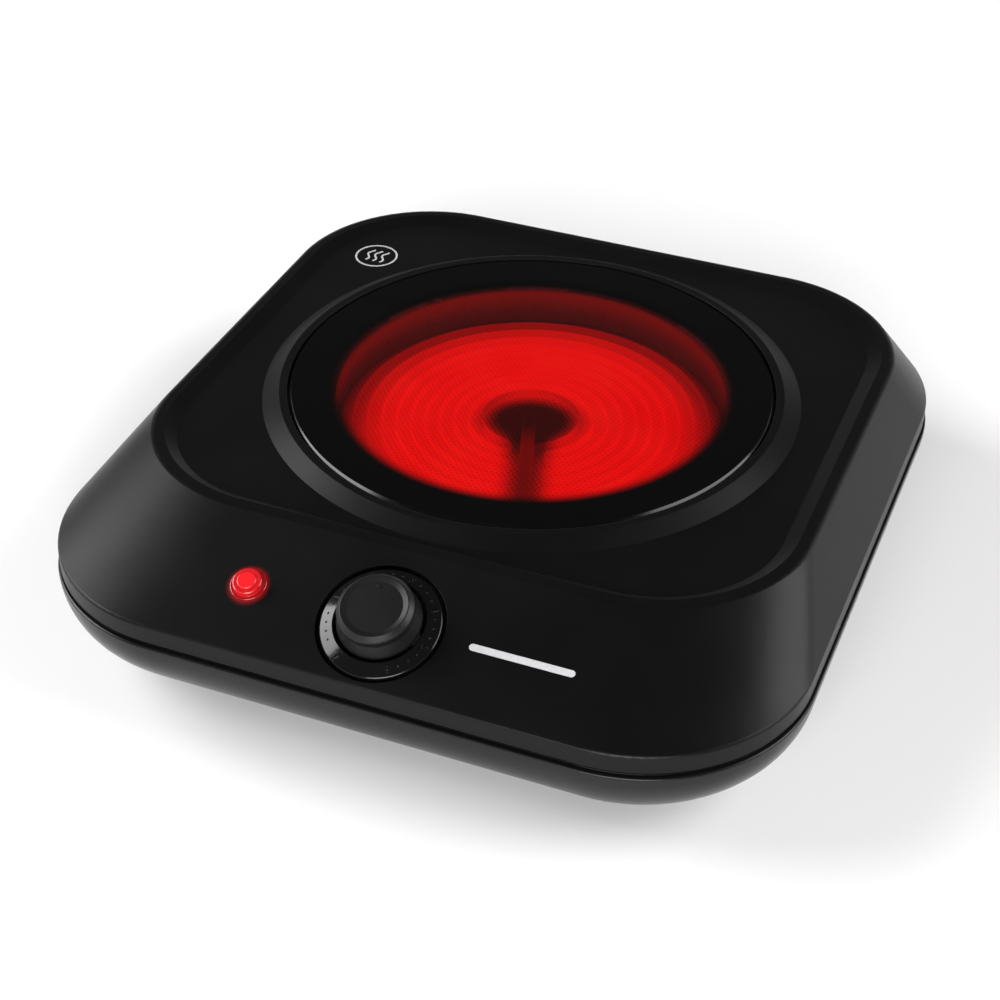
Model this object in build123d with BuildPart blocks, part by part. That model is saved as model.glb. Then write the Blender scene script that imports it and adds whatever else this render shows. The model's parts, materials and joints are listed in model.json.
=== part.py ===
from build123d import *
from math import asin, atan2, cos, degrees, isclose, pi, radians, sin, tan
import os

# A single-zone infrared hot plate: pressed steel cover with a glass plate and a radiant heater under it,
# a moulded base pan on rubber feet, and a rotary control with a pilot lamp on the sloping front.
# Millimetres, +Z up, the front faces -Y, z = 0 is the table.

os.makedirs("parts", exist_ok=True)

# ---- overall sizes ----
pan_half_width = 140.8
pan_half_depth = 145.2
pan_corner = 62.5
foot_height = 8.0
pan_height = 26.1
pan_sweep = 25.5          # radius that carries the pan's side into its floor
pan_wall = 2.5
pan_rim_round = 0.8
lip_inset = 2.1
lip_wall = 1.8
lip_height = 3.2
lip_root = 7.0

# ---- pressed cover ----
sheet = 1.0
cover_inset = 0.9         # the cover stands this far inside the pan's outline
cover_corner_trim = 0.9
seam_gap = 1.8
skirt_height = 6.9
cover_height = 27.0       # from the skirt's lower edge to the crest round the deck
crest_half_width = 125.3
crest_front = -94.6
crest_rear = 134.5
crest_corner = 57.0
break_round = 1.2         # between the slopes and the skirt
crest_round = 3.0
dish_depth = 2.2
dish_top_inset = 4.4
dish_wall_run = 5.4
dish_front_run = 3.6

# ---- glass and its collar ----
glass_y = 17.9
glass_radius = 92.5
glass_thick = 4.0
glass_bevel = 0.8
glass_gap = 0.8
glass_stands_over_deck = 3.4
lip_flat = 3.0
collar_foot_radius = 102.9
collar_root = 0.6
ledge_width = 6.3
seal_thick = 0.8
seal_inset = 0.7

# ---- radiant heater ----
heater_radius = 84.0
heater_sheet = 0.8
heater_height = 29.0
heater_rim_drop = 2.0
heated_radius = 75.0
base_board = 13.0
strip_turn = 18.0         # the coil-free strip points this many degrees right of the front
strip_half = 6.5
coil_rings = 10
coil_outer = 69.0
coil_pitch = 5.6
ribbon_height = 4.0
ribbon_width = 0.5
ribbon_seat = 1.0
groove_clearance = 0.1
tail_bend = 3.0
inner_end = 5.0
inner_bend = 4.5
tail_reach = 92.0
rod_radius = 2.0
tube_radius = 2.6
tube_wall = 0.5
rod_end = 12.0
rod_over_coil = 5.0
head_length = 24.0
head_width = 30.0
head_height = 8.0
head_standoff = 0.2
block_length = 14.0
block_height = 7.4

# ---- heater strap, springs and shield ----
strap_width = 16.0
strap_thick = 1.5
strap_leg_x = 107.5
strap_z = 21.5
strap_leg_top = 54.0
strap_flange = 7.0
strap_screw_z = 50.0
spring_x = 45.0
spring_radius = 6.0
spring_wire = 0.6
spring_turns = 3
shield_radius = 78.0
shield_thick = 0.8
shield_lift = 5.0
shield_post = 45.0
shield_post_radius = 4.0

vent_x = 38.0
vent_rows = (-24.0, -16.0, -8.0, 0.0, 8.0, 16.0, 24.0)
vent_length = 46.0
vent_width = 3.6

# ---- fixings ----
boss_x = 100.0
boss_front_y = -50.0
boss_rear_y = 78.0
boss_radius = 6.0
boss_top = 44.0
boss_web = 4.0
head_well_radius = 4.4
bracket_width = 14.0
bracket_reach = 12.0
bracket_thick = 1.2
foot_x = 84.0
foot_y = 104.0
foot_radius = 10.0
foot_taper = 1.5
foot_round = 1.0
foot_hollow = 4.0
stem_radius = 3.2
stem_head = 1.0
screw_clearance = 0.1
m4_radius = 2.0
m4_head_radius = 3.7
m4_head = 2.6
m3_radius = 1.5
m3_head_radius = 3.0
m3_head = 1.8
thread_tip = 2.5

# ---- control ----
knob_y = -121.7
recess_radius = 22.5
recess_depth = 3.5
recess_round = 0.8
shaft_radius = 3.0
shaft_clearance = 0.05
shaft_top = 9.0
shaft_flat = 1.6
knob_radius = 14.7
knob_rise = 11.8
knob_lift = 1.6
knob_edge = 1.2           # upright edge of the knob's skirt
knob_shoulder = 13.4
shoulder_drop = 1.9
waist_drop = 4.6
knob_waist = 13.2
knob_crest = 11.7
knob_wall = 1.6
knob_boss = 5.0
dish_radius = 9.6
dish_sink = 0.7
crest_edge_round = 0.4
shoulder_round = 1.2
pointer_turn = 12.0       # the pointer rests this many degrees anticlockwise of straight up the slope
pointer_radius = 8.0
pointer_proud = 0.5
dot_radius = 0.55
ring_radius = 21.1
ring_inner = 15.9
ring_rise = 2.2
ring_wall = 1.3
ring_outer_drop = 0.1
ring_outer_round = 0.8
ring_inner_round = 0.3
ring_peg = 1.0
peg_count = 3
case_length = 38.0
case_width = 30.0
case_depth = 20.0
case_wall = 2.0
plate_thick = 1.5
bush_radius = 5.0
control_screw_x = 11.0
cam_radius = 8.0
cam_thick = 4.0
cam_height = 7.0
leaf_thick = 0.5
leaf_gap = 0.4
pivot_radius = 1.5
tab_width = 6.3
tab_thick = 0.8
tab_length = 8.0
tab_x = 12.0
tab_y = 8.0

# ---- pilot lamp ----
lamp_x = -50.1
lamp_up = 1.2
lamp_flange = 6.5
lamp_flange_thick = 0.7
lamp_flange_round = 0.3
lamp_head = 5.2
lamp_head_rise = 2.7
lamp_head_round = 0.5
lamp_button = 3.4
lamp_button_rise = 3.4
lamp_button_round = 0.3
lamp_plug = 5.0
lamp_body_radius = 4.6
lamp_body_wall = 0.7
lamp_length = 16.0
bulb_radius = 2.6

# ---- mains entry and leads ----
inlet_x = 60.0
inlet_z = 24.0
gland_bore = 3.5
gland_radius = 5.0
gland_flange = 7.0
gland_lip = 1.0
gland_length = 10.0
gland_pad_radius = 8.0
gland_catch = 1.0
block_y = 118.0
mains_length = 46.0
mains_width = 18.0
mains_height = 13.0
pole_pitch = 9.0
pole_radius = 3.0
pole_screw_radius = 2.2
pole_screw_up = 1.0
block_screw_in = 3.0
block_post_radius = 3.5
block_lift = 2.0
lead_radius = 1.2
lamp_lead_radius = 0.8
lead_bend = 7.0
lamp_lead_bend = 4.0
duct_pitch = 2.7          # between leads that lie side by side along the right wall
duct_drop = (15.0, 11.5, 8.0)   # how far each lead runs forward from the mains block before it turns
duct_turn = 1.0
tab_run = 9.0             # straight run from a tab before the first bend
short_run = 5.0
lamp_run = 14.0
earth_rise = 14.0
live_swing = 18.0         # places where the free leads change direction
neutral_swing = 24.0
neutral_side = 8.0
neutral_run = 12.0
switched_swing = 46.0
switched_side = 20.0
feed_swing = 9.6

clip_wall = 1.3
clip_length = 6.0
clip_slack = 0.1
clip_places_y = (44.0, -26.0)

# ---- places worked out from the sizes above ----
floor_z = foot_height + pan_wall
rim_z = foot_height + pan_height
skirt_z = rim_z + seam_gap
break_z = skirt_z + skirt_height
crest_z = skirt_z + cover_height
deck_z = crest_z - dish_depth
glass_top = deck_z + glass_stands_over_deck
glass_under = glass_top - glass_thick
ledge_top = glass_under - seal_thick
cover_half_width = pan_half_width - cover_inset
cover_half_depth = pan_half_depth - cover_inset
cover_corner = pan_corner - cover_corner_trim
collar_radius = glass_radius + glass_gap
slope_rise = crest_z - break_z
slope_front = atan2(slope_rise, cover_half_depth + crest_front)
slope_side = atan2(slope_rise, cover_half_width - crest_half_width)
slope_rear = atan2(slope_rise, cover_half_depth - crest_rear)
knob_z = break_z + (knob_y + cover_half_depth) * tan(slope_front)
heater_floor = glass_under - heater_height
board_top = heater_floor + heater_sheet + base_board
coil_z = board_top - ribbon_seat
rod_z = coil_z + ribbon_height + rod_over_coil
head_z = rod_z - head_height / 2

panel = Plane(origin=(0, knob_y, knob_z), x_dir=(1, 0, 0), z_dir=(0, -sin(slope_front), cos(slope_front)))
glass_axis = Axis((0, glass_y, 0), (0, 0, 1))
glass_section = Plane.XZ.offset(-glass_y)
panel_section = Plane(origin=panel.origin, x_dir=panel.x_dir, z_dir=-panel.y_dir)
panel_axis = Axis(panel.origin, panel.z_dir)
gland_plane = Plane(origin=(inlet_x, pan_half_depth - gland_lip, inlet_z), x_dir=(1, 0, 0), z_dir=(0, 1, 0))
strip_x_dir = (cos(radians(strip_turn)), sin(radians(strip_turn)), 0)


def heater_plane(z):
    """Plane level with z, centred on the heater, whose -Y runs along the coil-free strip."""
    return Plane(origin=(0, glass_y, z), x_dir=strip_x_dir, z_dir=(0, 0, 1))


def level(z):
    """Horizontal plane at height z."""
    return Plane.XY.offset(z)


def over_glass(z):
    """Horizontal plane at height z centred on the glass."""
    return Plane(origin=(0, glass_y, z))


def outline(z, half_width, front, rear, corner):
    """Rounded rectangle at height z between two y positions."""
    with BuildSketch(level(z)) as shape:
        with Locations((0, (front + rear) / 2)):
            RectangleRounded(2 * half_width, rear - front, corner)
    return shape.sketch


def disc(plane, radius, height, mode=Mode.ADD):
    """Round block standing on a plane."""
    with BuildSketch(plane) as shape:
        Circle(radius)
    extrude(shape.sketch, amount=height, mode=mode)


def washer(plane, outer, inner, height):
    """Flat ring standing on a plane."""
    with BuildSketch(plane) as shape:
        Circle(outer)
        Circle(inner, mode=Mode.SUBTRACT)
    extrude(shape.sketch, amount=height)


def discs(plane, places, radius, height, mode=Mode.ADD):
    """Round blocks standing on a plane at several places."""
    with BuildSketch(plane) as shape:
        with Locations(*places):
            Circle(radius)
    extrude(shape.sketch, amount=height, mode=mode)


def box_on(plane, place, length, width, height, mode=Mode.ADD):
    """Square block standing on a plane, centred on a place."""
    with BuildSketch(plane) as shape:
        with Locations(place):
            Rectangle(length, width)
    extrude(shape.sketch, amount=height, mode=mode)


def turned(section, axis, points):
    """Solid of revolution from a closed outline of radius and height pairs."""
    with BuildSketch(section) as shape:
        with BuildLine():
            Polyline(*points, close=True)
        make_face()
    revolve(shape.sketch, axis=axis)


def round_rim(body, radius, rounding):
    """Rounds the circular edges of a body that have one radius."""
    circles = body.edges().filter_by(GeomType.CIRCLE)
    fillet([edge for edge in circles if isclose(edge.radius, radius, abs_tol=0.001)], rounding)


def pan_form(inset):
    """Bowl drawn in from the pan's outer skin by inset, before its floor edge is rounded."""
    bottom = foot_height + inset
    half_depth = pan_half_depth - inset
    shape = outline(bottom, pan_half_width - inset, -half_depth, half_depth, pan_corner - inset)
    extrude(shape, amount=rim_z - bottom)


def cover_form(inset):
    """Skirt and four slopes of the cover, drawn in from its outer skin by inset."""
    turn = inset * tan((radians(90) - slope_front) / 2)
    side = crest_half_width - inset * tan(slope_side / 2)
    front = crest_front + inset * tan(slope_front / 2)
    rear = crest_rear - inset * tan(slope_rear / 2)
    half_width = cover_half_width - inset
    half_depth = cover_half_depth - inset
    corner = cover_corner - inset
    extrude(outline(skirt_z, half_width, -half_depth, half_depth, corner), amount=skirt_height - turn)
    lower = outline(break_z - turn, half_width, -half_depth, half_depth, corner)
    upper = outline(crest_z - inset, side, front, rear, crest_corner - inset * tan(slope_side / 2))
    loft([lower, upper], ruled=True)


def dish_form(drop):
    """Shallow dish pressed into the cover's top, lowered by drop."""
    top_corner = crest_corner - dish_top_inset
    upper = outline(crest_z - drop, crest_half_width - dish_top_inset, crest_front + dish_top_inset,
                    crest_rear - dish_top_inset, top_corner)
    lower = outline(deck_z - drop, crest_half_width - dish_top_inset - dish_wall_run,
                    crest_front + dish_top_inset + dish_front_run,
                    crest_rear - dish_top_inset - dish_wall_run, top_corner - dish_wall_run)
    loft([lower, upper], ruled=True)


# ---------------------------------------------------------------- cover
with BuildPart() as dish_press:
    dish_form(0)

with BuildPart() as dish_under:
    dish_form(sheet)

with BuildPart() as cavity:
    cover_form(sheet)
    fillet(cavity.edges().filter_by_position(Axis.Z, break_z - sheet, break_z), break_round - sheet)
    fillet(cavity.edges().group_by(Axis.Z)[-1], crest_round - sheet)
    add(dish_under.part, mode=Mode.SUBTRACT)

with BuildPart() as top_cover:
    cover_form(0)
    break_edges = top_cover.edges().filter_by_position(Axis.Z, break_z - sheet / 2, break_z + sheet / 2)
    fillet(break_edges, break_round)
    fillet(top_cover.edges().group_by(Axis.Z)[-1], crest_round)
    add(dish_press.part, mode=Mode.SUBTRACT)
    add(cavity.part, mode=Mode.SUBTRACT)
    disc(over_glass(deck_z - 2 * sheet), collar_foot_radius, 3 * sheet, Mode.SUBTRACT)
    turned(glass_section, glass_axis, [
        (collar_foot_radius + collar_root, deck_z),
        (collar_foot_radius, deck_z),
        (collar_radius + lip_flat, glass_top),
        (collar_radius, glass_top),
        (collar_radius, ledge_top),
        (collar_radius - ledge_width, ledge_top),
        (collar_radius - ledge_width, ledge_top - sheet),
        (collar_radius + sheet, ledge_top - sheet),
        (collar_radius + sheet, glass_top - sheet),
        (collar_radius + lip_flat - sheet / 2, glass_top - sheet),
        (collar_foot_radius - sheet / 2, deck_z - sheet),
        (collar_foot_radius + collar_root, deck_z - sheet),
    ])
    disc(panel.offset(-2 * sheet), recess_radius, 4 * sheet, Mode.SUBTRACT)
    disc(panel.offset(-recess_depth - sheet), recess_radius + sheet, recess_depth + sheet / 2)
    disc(panel.offset(-recess_depth), recess_radius, recess_depth + 2 * sheet, Mode.SUBTRACT)
    disc(panel.offset(-recess_depth - 2 * sheet), bush_radius + screw_clearance, 4 * sheet, Mode.SUBTRACT)
    discs(panel.offset(-recess_depth - 2 * sheet), [(-control_screw_x, 0), (control_screw_x, 0)],
          m3_radius + screw_clearance, 4 * sheet, Mode.SUBTRACT)
    with BuildSketch(panel.offset(-recess_depth - 2 * sheet)) as peg_holes:
        with PolarLocations(ring_radius - ring_wall / 2, peg_count, start_angle=90):
            Circle(ring_peg / 2 + shaft_clearance)
    extrude(peg_holes.sketch, amount=4 * sheet, mode=Mode.SUBTRACT)
    discs(panel.offset(-2 * sheet), [(lamp_x, lamp_up)], lamp_body_radius + shaft_clearance, 4 * sheet,
          Mode.SUBTRACT)
    round_rim(top_cover, recess_radius, recess_round)
top_cover.part.label = "top_cover"
export_step(top_cover.part, "parts/top_cover.step")

# ---------------------------------------------------------------- base pan
with BuildPart() as pan_core:
    pan_form(pan_wall)
    fillet(pan_core.edges().group_by(Axis.Z)[0], pan_sweep - pan_wall)

boss_places = [(x, y) for x in (-boss_x, boss_x) for y in (boss_front_y, boss_rear_y)]
foot_places = [(x, y) for x in (-foot_x, foot_x) for y in (-foot_y, foot_y)]
post_places = [(x, glass_y + y) for x in (-shield_post, shield_post) for y in (-shield_post, shield_post)]
vent_places = [(x, glass_y + y) for x in (-vent_x, vent_x) for y in vent_rows]
block_screw_x = mains_length / 2 - block_screw_in
block_post_places = [(inlet_x - block_screw_x, block_y), (inlet_x + block_screw_x, block_y)]
lip_half_depth = pan_half_depth - lip_inset

with BuildPart() as base_pan:
    pan_form(0)
    fillet(base_pan.edges().group_by(Axis.Z)[0], pan_sweep)
    fillet(base_pan.edges().group_by(Axis.Z)[-1], pan_rim_round)
    add(pan_core.part, mode=Mode.SUBTRACT)
    lip_outer = outline(rim_z - lip_root, pan_half_width - lip_inset, -lip_half_depth, lip_half_depth,
                        pan_corner - lip_inset)
    lip_inner = outline(rim_z - lip_root, pan_half_width - lip_inset - lip_wall, lip_wall - lip_half_depth,
                        lip_half_depth - lip_wall, pan_corner - lip_inset - lip_wall)
    extrude(lip_outer - lip_inner, amount=lip_root + lip_height)
    discs(level(floor_z - pan_wall / 2), boss_places, boss_radius, boss_top - floor_z + pan_wall / 2)
    discs(level(foot_height), boss_places, head_well_radius, boss_top - boss_web - foot_height, Mode.SUBTRACT)
    discs(level(foot_height), boss_places, m4_radius + screw_clearance, boss_top, Mode.SUBTRACT)
    discs(level(foot_height), foot_places, stem_radius + shaft_clearance, boss_top, Mode.SUBTRACT)
    discs(level(floor_z - pan_wall / 2), post_places, shield_post_radius, shield_lift + pan_wall / 2)
    discs(level(floor_z), post_places, m3_radius, shield_lift, Mode.SUBTRACT)
    discs(level(floor_z - pan_wall / 2), block_post_places, block_post_radius, block_lift + pan_wall / 2)
    discs(level(floor_z), block_post_places, m3_radius, block_lift, Mode.SUBTRACT)
    with BuildSketch(level(foot_height - pan_wall)) as vents:
        with Locations(*vent_places):
            SlotOverall(vent_length, vent_width)
    extrude(vents.sketch, amount=3 * pan_wall, mode=Mode.SUBTRACT)
    disc(gland_plane.offset(-gland_length), gland_pad_radius, gland_length)
    disc(gland_plane.offset(-gland_length), gland_radius, gland_length, Mode.SUBTRACT)
    disc(gland_plane, gland_flange + screw_clearance, 2 * gland_lip, Mode.SUBTRACT)
base_pan.part.label = "base_pan"
export_step(base_pan.part, "parts/base_pan.step")

with BuildPart() as foot:
    with BuildSketch(level(0)) as foot_bottom:
        Circle(foot_radius - foot_taper)
    with BuildSketch(level(foot_height)) as foot_top:
        Circle(foot_radius)
    loft([foot_bottom.sketch, foot_top.sketch], ruled=True)
    fillet(foot.edges().group_by(Axis.Z)[0], foot_round)
    disc(level(foot_height), stem_radius, pan_wall)
    disc(level(floor_z), stem_radius + stem_head, stem_head)
    disc(level(0), foot_hollow, foot_height / 2, Mode.SUBTRACT)

for side, x in (("left", -foot_x), ("right", foot_x)):
    for end, y in (("front", -foot_y), ("rear", foot_y)):
        with BuildPart() as placed_foot:
            add(foot.part.moved(Location((x, y, 0))))
        placed_foot.part.label = f"foot_{end}_{side}"
        export_step(placed_foot.part, f"parts/foot_{end}_{side}.step")

with BuildPart() as base_screws:
    with Locations(*[(x, y, boss_top - boss_web) for x, y in boss_places]):
        Cylinder(m4_radius, boss_web + bracket_thick + thread_tip,
                 align=(Align.CENTER, Align.CENTER, Align.MIN))
        Cylinder(m4_head_radius, m4_head, align=(Align.CENTER, Align.CENTER, Align.MAX))
base_screws.part.label = "base_screws"
export_step(base_screws.part, "parts/base_screws.step")

# each bracket is a bent strip: welded under the deck, down, and out over its boss
with BuildPart() as cover_brackets:
    for x, y in boss_places:
        leg_x = x - (bracket_reach - bracket_thick) / 2 * (1 if x > 0 else -1)
        box_on(level(boss_top), (x, y), bracket_reach, bracket_width, bracket_thick)
        box_on(level(boss_top), (leg_x, y), bracket_thick, bracket_width, deck_z - sheet - boss_top)
        box_on(level(deck_z - sheet - bracket_thick), (x, y), bracket_reach, bracket_width, bracket_thick)
    discs(level(boss_top - bracket_thick), boss_places, m4_radius, 3 * bracket_thick, Mode.SUBTRACT)
cover_brackets.part.label = "cover_brackets"
export_step(cover_brackets.part, "parts/cover_brackets.step")

# ---------------------------------------------------------------- glass
with BuildPart() as glass_plate:
    disc(over_glass(glass_under), glass_radius, glass_thick)
    chamfer(glass_plate.edges().group_by(Axis.Z)[-1], glass_bevel)
glass_plate.part.label = "glass_plate"
export_step(glass_plate.part, "parts/glass_plate.step")

with BuildPart() as glass_seal:
    washer(over_glass(ledge_top), collar_radius - screw_clearance, collar_radius - ledge_width + seal_inset,
           seal_thick)
glass_seal.part.label = "glass_seal"
export_step(glass_seal.part, "parts/glass_seal.step")

# ---------------------------------------------------------------- radiant heater
coil_edge = strip_half + coil_pitch / 2
start_turn = degrees(asin(coil_edge / coil_outer))


def polar(radius, angle):
    """Point at a radius and an angle in degrees."""
    return (radius * cos(radians(angle)), radius * sin(radians(angle)))


def strip_bar(x, z, radius, start, end, mode=Mode.ADD):
    """Round bar or hole along the strip between two distances from the glass centre."""
    origin = heater_plane(z).from_local_coords((x, -start, 0))
    disc(Plane(origin=origin, x_dir=strip_x_dir, z_dir=-heater_plane(z).y_dir), radius, end - start, mode)


def strip_box(x, z, width, height, start, end, mode=Mode.ADD):
    """Square bar or slot along the strip, its underside at height z."""
    box_on(heater_plane(z), (x, -(start + end) / 2), width, end - start, height, mode)


with BuildLine(heater_plane(coil_z + ribbon_height / 2)) as coil_path:
    angle = start_turn - 90
    bend_centre = polar(coil_outer + tail_bend, angle)
    tail_x = bend_centre[0] - tail_bend
    Line((tail_x, -tail_reach), (tail_x, bend_centre[1]))
    CenterArc(bend_centre, tail_bend, 180, start_turn - 90)
    for ring in range(coil_rings):
        radius = coil_outer - coil_pitch * ring
        sense = 1 if ring % 2 == 0 else -1
        innermost = ring == coil_rings - 1
        between = radius - coil_pitch / 2
        turn = degrees(asin(inner_end / radius if innermost else coil_edge / between))
        stop = 270 - turn if sense > 0 else turn - 90
        CenterArc((0, 0), radius, angle, stop - angle)
        if not innermost:
            CenterArc(polar(between, stop), coil_pitch / 2, stop, 180 * sense)
        angle = stop
    inner_centre = polar(radius + inner_bend, angle)
    inner_tail_x = inner_centre[0] - inner_bend
    CenterArc(inner_centre, inner_bend, angle + 180, 90 - turn)
    Line((inner_tail_x, inner_centre[1]), (inner_tail_x, -tail_reach))

ribbon_start = Plane(origin=coil_path.line @ 0, x_dir=(0, 0, 1), z_dir=coil_path.line % 0)

with BuildPart() as heating_coil:
    with BuildSketch(ribbon_start) as ribbon:
        Rectangle(ribbon_height, ribbon_width)
    sweep(ribbon.sketch, path=coil_path.line)
heating_coil.part.label = "heating_coil"
export_step(heating_coil.part, "parts/heating_coil.step")

with BuildPart() as coil_groove:
    with BuildSketch(ribbon_start) as groove:
        Rectangle(ribbon_height + 2 * groove_clearance, ribbon_width + 2 * groove_clearance)
    sweep(groove.sketch, path=coil_path.line)

with BuildPart() as heater_pan:
    disc(over_glass(heater_floor), heater_radius, heater_height - heater_rim_drop)
    disc(over_glass(heater_floor + heater_sheet), heater_radius - heater_sheet, heater_height, Mode.SUBTRACT)
    strip_bar(0, rod_z, tube_radius + screw_clearance, heated_radius, heater_radius + heater_sheet,
              Mode.SUBTRACT)
    add(coil_groove.part, mode=Mode.SUBTRACT)
heater_pan.part.label = "heater_pan"
export_step(heater_pan.part, "parts/heater_pan.step")

with BuildPart() as insulation_base:
    disc(over_glass(heater_floor + heater_sheet), heater_radius - heater_sheet, base_board)
    add(coil_groove.part, mode=Mode.SUBTRACT)
insulation_base.part.label = "insulation_base"
export_step(insulation_base.part, "parts/insulation_base.step")

with BuildPart() as insulation_ring:
    washer(over_glass(board_top), heater_radius - heater_sheet, heated_radius, glass_under - board_top)
    strip_bar(0, rod_z, tube_radius + screw_clearance, heated_radius - heater_sheet, heater_radius,
              Mode.SUBTRACT)
    add(coil_groove.part, mode=Mode.SUBTRACT)
insulation_ring.part.label = "insulation_ring"
export_step(insulation_ring.part, "parts/insulation_ring.step")

head_start = heater_radius + head_standoff
head_end = head_start + head_length

with BuildPart() as limiter_tube:
    strip_bar(0, rod_z, tube_radius, rod_end, head_start)
    strip_bar(0, rod_z, tube_radius - tube_wall, rod_end + tube_wall, head_start, Mode.SUBTRACT)
limiter_tube.part.label = "limiter_tube"
export_step(limiter_tube.part, "parts/limiter_tube.step")

with BuildPart() as limiter_rod:
    strip_bar(0, rod_z, rod_radius, rod_end + tube_wall, head_start)
limiter_rod.part.label = "limiter_rod"
export_step(limiter_rod.part, "parts/limiter_rod.step")

with BuildPart() as limiter_head:
    strip_box(0, head_z, head_width, head_height, head_start, head_end)
    fillet(limiter_head.edges().filter_by(Axis.Z), case_wall)
limiter_head.part.label = "limiter_head"
export_step(limiter_head.part, "parts/limiter_head.step")

with BuildPart() as heater_block:
    strip_box(0, head_z - block_height, head_width, block_height, head_start, head_start + block_length)
    add(coil_groove.part, mode=Mode.SUBTRACT)
heater_block.part.label = "heater_block"
export_step(heater_block.part, "parts/heater_block.step")

tab_start = head_start + block_length
heater_tab_x = head_width / 2 - tab_width
heater_tab_z = head_z - block_height / 2

with BuildPart() as heater_tabs:
    for x in (-heater_tab_x, heater_tab_x):
        strip_box(x, heater_tab_z, tab_width, tab_thick, tab_start, tab_start + tab_length)
        strip_box(x, rod_z, tab_width, tab_thick, head_end, head_end + tab_length)
heater_tabs.part.label = "heater_tabs"
export_step(heater_tabs.part, "parts/heater_tabs.step")

with BuildPart() as heater_strap:
    box_on(level(strap_z), (0, glass_y), 2 * strap_leg_x, strap_width, strap_thick)
    for side in (-1, 1):
        box_on(level(strap_z), (side * (strap_leg_x - strap_thick / 2), glass_y), strap_thick, strap_width,
               strap_leg_top - strap_z)
    with BuildSketch(Plane.YZ.offset(-2 * strap_leg_x)) as strap_holes:
        with Locations((glass_y, strap_screw_z)):
            Circle(m4_radius + screw_clearance)
    extrude(strap_holes.sketch, amount=4 * strap_leg_x, mode=Mode.SUBTRACT)
heater_strap.part.label = "heater_strap"
export_step(heater_strap.part, "parts/heater_strap.step")

with BuildPart() as strap_brackets:
    for side in (-1, 1):
        box_on(level(boss_top), (side * (strap_leg_x + bracket_thick / 2), glass_y), bracket_thick,
               strap_width, deck_z - sheet - boss_top)
        box_on(level(deck_z - sheet - bracket_thick), (side * (strap_leg_x + strap_flange / 2), glass_y),
               strap_flange, strap_width, bracket_thick)
    with BuildSketch(Plane.YZ.offset(-2 * strap_leg_x)) as bracket_holes:
        with Locations((glass_y, strap_screw_z)):
            Circle(m4_radius)
    extrude(bracket_holes.sketch, amount=4 * strap_leg_x, mode=Mode.SUBTRACT)
strap_brackets.part.label = "strap_brackets"
export_step(strap_brackets.part, "parts/strap_brackets.step")

with BuildPart() as strap_screws:
    for side in (-1, 1):
        start = Plane(origin=(side * (strap_leg_x - strap_thick), glass_y, strap_screw_z), z_dir=(side, 0, 0))
        disc(start, m4_radius, strap_thick + bracket_thick + thread_tip)
        disc(start.offset(-m4_head), m4_head_radius, m4_head)
strap_screws.part.label = "strap_screws"
export_step(strap_screws.part, "parts/strap_screws.step")

spring_bottom = strap_z + strap_thick + spring_wire
spring_rise = heater_floor - spring_wire - spring_bottom
with BuildPart() as spring_coil:
    with BuildLine() as spring_line:
        Helix(spring_rise / spring_turns, spring_rise, spring_radius)
    with BuildSketch(Plane(origin=spring_line.line @ 0, z_dir=spring_line.line % 0)) as spring_section:
        Circle(spring_wire)
    sweep(spring_section.sketch, path=spring_line.line, is_frenet=True)

with BuildPart() as heater_springs:
    for x in (-spring_x, spring_x):
        add(spring_coil.part.moved(Location((x, glass_y, spring_bottom))))
heater_springs.part.label = "heater_springs"
export_step(heater_springs.part, "parts/heater_springs.step")

with BuildPart() as heat_shield:
    disc(over_glass(floor_z + shield_lift), shield_radius, shield_thick)
    discs(level(floor_z), post_places, m3_radius + screw_clearance, 2 * shield_lift, Mode.SUBTRACT)
heat_shield.part.label = "heat_shield"
export_step(heat_shield.part, "parts/heat_shield.step")

with BuildPart() as shield_screws:
    shield_top = floor_z + shield_lift + shield_thick
    discs(level(floor_z + shield_thick), post_places, m3_radius, shield_lift)
    discs(level(shield_top), post_places, m3_head_radius, m3_head)
shield_screws.part.label = "shield_screws"
export_step(shield_screws.part, "parts/shield_screws.step")

# ---------------------------------------------------------------- control
control_top = -recess_depth - sheet
case_top = control_top - plate_thick
case_bottom = case_top - case_depth
screw_places = [(-control_screw_x, 0), (control_screw_x, 0)]
tab_places = [(x, y) for x in (-tab_x, tab_x) for y in (-tab_y, tab_y)]

with BuildPart() as control_plate:
    box_on(panel.offset(case_top), (0, 0), case_length, case_width, plate_thick)
    disc(panel.offset(case_top), bush_radius, plate_thick, Mode.SUBTRACT)
    discs(panel.offset(case_top), screw_places, m3_radius, plate_thick, Mode.SUBTRACT)
control_plate.part.label = "control_plate"
export_step(control_plate.part, "parts/control_plate.step")

with BuildPart() as control_case:
    box_on(panel.offset(case_bottom), (0, 0), case_length, case_width, case_depth)
    box_on(panel.offset(case_bottom + case_wall), (0, 0), case_length - 2 * case_wall,
           case_width - 2 * case_wall, case_depth, Mode.SUBTRACT)
    disc(panel.offset(case_bottom), pivot_radius + shaft_clearance, case_wall, Mode.SUBTRACT)
    with BuildSketch(panel.offset(case_bottom)) as tab_slots:
        with Locations(*tab_places):
            Rectangle(tab_width, tab_thick)
    extrude(tab_slots.sketch, amount=case_wall, mode=Mode.SUBTRACT)
control_case.part.label = "control_case"
export_step(control_case.part, "parts/control_case.step")

with BuildPart() as control_tabs:
    with BuildSketch(panel.offset(case_bottom - tab_length)) as tab_faces:
        with Locations(*tab_places):
            Rectangle(tab_width, tab_thick)
    extrude(tab_faces.sketch, amount=tab_length + case_wall)
control_tabs.part.label = "control_tabs"
export_step(control_tabs.part, "parts/control_tabs.step")

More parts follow.
